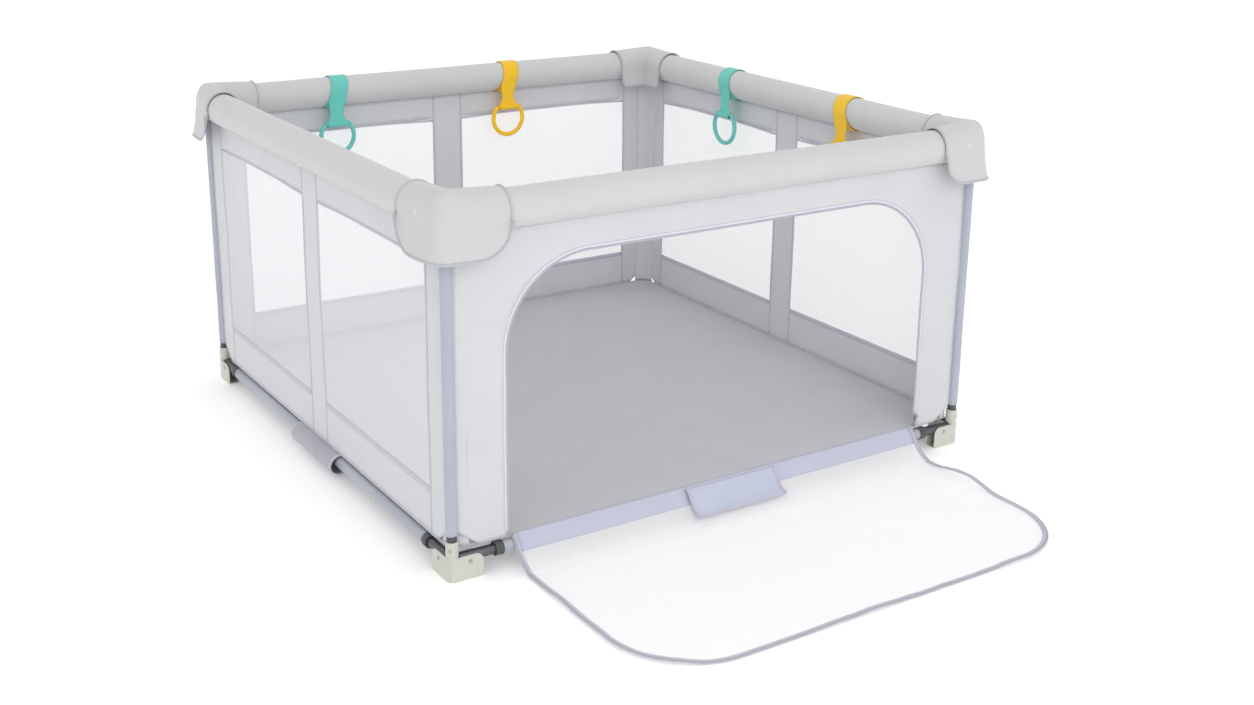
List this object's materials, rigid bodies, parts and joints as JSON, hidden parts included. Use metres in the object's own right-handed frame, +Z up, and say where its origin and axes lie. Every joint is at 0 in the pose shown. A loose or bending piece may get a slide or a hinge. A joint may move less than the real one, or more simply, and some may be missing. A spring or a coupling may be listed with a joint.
{
  "type": "baby playpen",
  "caption": "Square fabric playpen on a plug-together tube frame, with mesh windows, padded top rails, a zip-off door lying open and hand rings.",
  "frame": {"origin": "middle of the whole footprint at floor level, with the open door lying in front counted in", "axes": "+Z up, +X to the right as one faces the door from outside, +Y from the door towards the back"},
  "size_m": [1.2722, 1.7148, 0.6981],
  "materials": {
    "foot_plastic": "moulded nylon, warm light grey, fine satin grain",
    "steel_zinc": "zinc-plated steel, satin",
    "dark_plastic": "moulded dark grey polypropylene",
    "tube_paint": "grey powder coat on steel tube",
    "sleeve_cloth": "polyester sleeve, blue grey",
    "corner_cloth": "padded coated oxford cloth, pale grey",
    "rail_cloth": "coated oxford cloth over foam, pale grey",
    "foam": "closed cell foam tube",
    "wall_cloth": "300D oxford cloth, pale grey",
    "wall_mesh": "breathable polyester mesh, white, see-through",
    "floor_cloth": "coated oxford cloth, mid grey",
    "tab_cloth": "oxford cloth, grey, hook and loop inside",
    "band_cloth": "oxford cloth, lavender grey",
    "zip_tape": "woven zip tape and binding, lilac grey",
    "zip_metal": "grey lacquered zip slider",
    "teal_webbing": "woven webbing, teal",
    "teal_plastic": "moulded ring, teal",
    "yellow_webbing": "woven webbing, yellow",
    "yellow_plastic": "moulded ring, yellow"
  },
  "bodies": {
    "root": {"foot_front_left": "foot_plastic", "post_front_left": "tube_paint", "corner_cover_front_left": "corner_cloth", "foot_front_right": "foot_plastic", "post_front_right": "tube_paint", "corner_cover_front_right": "corner_cloth", "foot_back_right": "foot_plastic", "post_back_right": "tube_paint", "corner_cover_back_right": "corner_cloth", "foot_back_left": "foot_plastic", "post_back_left": "tube_paint", "corner_cover_back_left": "corner_cloth", "bottom_rail_front": "tube_paint", "top_rail_front": "tube_paint", "rail_cover_front": "rail_cloth", "bottom_rail_right": "tube_paint", "top_rail_right": "tube_paint", "rail_cover_right": "rail_cloth", "bottom_rail_back": "tube_paint", "top_rail_back": "tube_paint", "rail_cover_back": "rail_cloth", "bottom_rail_left": "tube_paint", "top_rail_left": "tube_paint", "rail_cover_left": "rail_cloth", "foot_rivets": "steel_zinc", "rail_spigots": "steel_zinc", "rail_collars": "dark_plastic", "post_ferrules": "dark_plastic", "post_sleeves": "sleeve_cloth", "top_corner_connectors": "dark_plastic", "rail_couplers": "steel_zinc", "rail_foam": "foam", "rail_tabs": "tab_cloth", "window_meshes": "wall_mesh", "side_panel_left": "wall_cloth", "side_panel_right": "wall_cloth", "side_panel_back": "wall_cloth", "side_panel_front": "wall_cloth", "floor_sheet": "floor_cloth", "wall_zip_tape": "zip_tape"},
    "door_hem": {"door_band": "band_cloth", "door_lower_mesh": "wall_mesh", "door_lower_tape": "zip_tape", "front_rail_tab": "band_cloth"},
    "door_flap": {"door_mesh": "wall_mesh", "door_tape": "zip_tape"},
    "zip_slider": {"zip_slider": "zip_metal"},
    "zip_pull": {"zip_pull": "zip_metal"},
    "ring_strap_back_left": {"ring_strap_back_left": "teal_webbing"},
    "hand_ring_back_left": {"hand_ring_back_left": "teal_plastic"},
    "ring_strap_back_right": {"ring_strap_back_right": "yellow_webbing"},
    "hand_ring_back_right": {"hand_ring_back_right": "yellow_plastic"},
    "ring_strap_right_back": {"ring_strap_right_back": "teal_webbing"},
    "hand_ring_right_back": {"hand_ring_right_back": "teal_plastic"},
    "ring_strap_right_front": {"ring_strap_right_front": "yellow_webbing"},
    "hand_ring_right_front": {"hand_ring_right_front": "yellow_plastic"},
    "post_button_front_left": {"post_button_front_left": "steel_zinc"},
    "post_button_front_right": {"post_button_front_right": "steel_zinc"},
    "post_button_back_right": {"post_button_back_right": "steel_zinc"},
    "post_button_back_left": {"post_button_back_left": "steel_zinc"}
  },
  "joints": [
    {"name": "door_seam", "type": "hinge", "parent": "root", "child": "door_hem", "pos_m": [0, -0.37666, 0.059], "axis": [-1, 0, 0], "range_deg": [0, 131.83]},
    {"name": "door_fold", "type": "hinge", "parent": "door_hem", "child": "door_flap", "pos_m": [0, -0.43866, 0.0035], "axis": [-1, 0, 0], "range_deg": [-41.85, 0]},
    {"name": "zip_run", "type": "slide", "parent": "root", "child": "zip_slider", "axis": [0, 0, 1], "range_m": [0, 0.3]},
    {"name": "zip_pull_swing", "type": "hinge", "parent": "zip_slider", "child": "zip_pull", "pos_m": [0.4885, -0.38436, 0.082], "axis": [-1, 0, 0], "range_deg": [0, 150]},
    {"name": "ring_strap_swing_back_left", "type": "hinge", "parent": "root", "child": "ring_strap_back_left", "pos_m": [-0.305, 0.81934, 0.66], "axis": [-1, 0, 0], "range_deg": [0, 60]},
    {"name": "hand_ring_swing_back_left", "type": "hinge", "parent": "ring_strap_back_left", "child": "hand_ring_back_left", "pos_m": [-0.305, 0.78304, 0.589], "axis": [-1, 0, 0], "range_deg": [-18, 70]},
    {"name": "ring_strap_swing_back_right", "type": "hinge", "parent": "root", "child": "ring_strap_back_right", "pos_m": [0.152, 0.81934, 0.66], "axis": [-1, 0, 0], "range_deg": [0, 60]},
    {"name": "hand_ring_swing_back_right", "type": "hinge", "parent": "ring_strap_back_right", "child": "hand_ring_back_right", "pos_m": [0.152, 0.78304, 0.589], "axis": [-1, 0, 0], "range_deg": [-18, 70]},
    {"name": "ring_strap_swing_right_back", "type": "hinge", "parent": "root", "child": "ring_strap_right_back", "pos_m": [0.598, 0.42134, 0.66], "axis": [0, 1, 0], "range_deg": [0, 60]},
    {"name": "hand_ring_swing_right_back", "type": "hinge", "parent": "ring_strap_right_back", "child": "hand_ring_right_back", "pos_m": [0.5617, 0.42134, 0.589], "axis": [0, 1, 0], "range_deg": [-18, 70]},
    {"name": "ring_strap_swing_right_front", "type": "hinge", "parent": "root", "child": "ring_strap_right_front", "pos_m": [0.598, -0.01366, 0.66], "axis": [0, 1, 0], "range_deg": [0, 60]},
    {"name": "hand_ring_swing_right_front", "type": "hinge", "parent": "ring_strap_right_front", "child": "hand_ring_right_front", "pos_m": [0.5617, -0.01366, 0.589], "axis": [0, 1, 0], "range_deg": [-18, 70]},
    {"name": "post_button_press_front_left", "type": "slide", "parent": "root", "child": "post_button_front_left", "axis": [0.7071, 0.7071, 0], "range_m": [0, 0.005], "stiffness_N_per_m": 1200},
    {"name": "post_button_press_front_right", "type": "slide", "parent": "root", "child": "post_button_front_right", "axis": [-0.7071, 0.7071, 0], "range_m": [0, 0.005], "stiffness_N_per_m": 1200},
    {"name": "post_button_press_back_right", "type": "slide", "parent": "root", "child": "post_button_back_right", "axis": [-0.7071, -0.7071, 0], "range_m": [0, 0.005], "stiffness_N_per_m": 1200},
    {"name": "post_button_press_back_left", "type": "slide", "parent": "root", "child": "post_button_back_left", "axis": [0.7071, -0.7071, 0], "range_m": [0, 0.005], "stiffness_N_per_m": 1200}
  ],
  "couplings": [
    {"joint": "door_fold", "follows": "door_seam", "ratio": -0.31732}
  ]
}
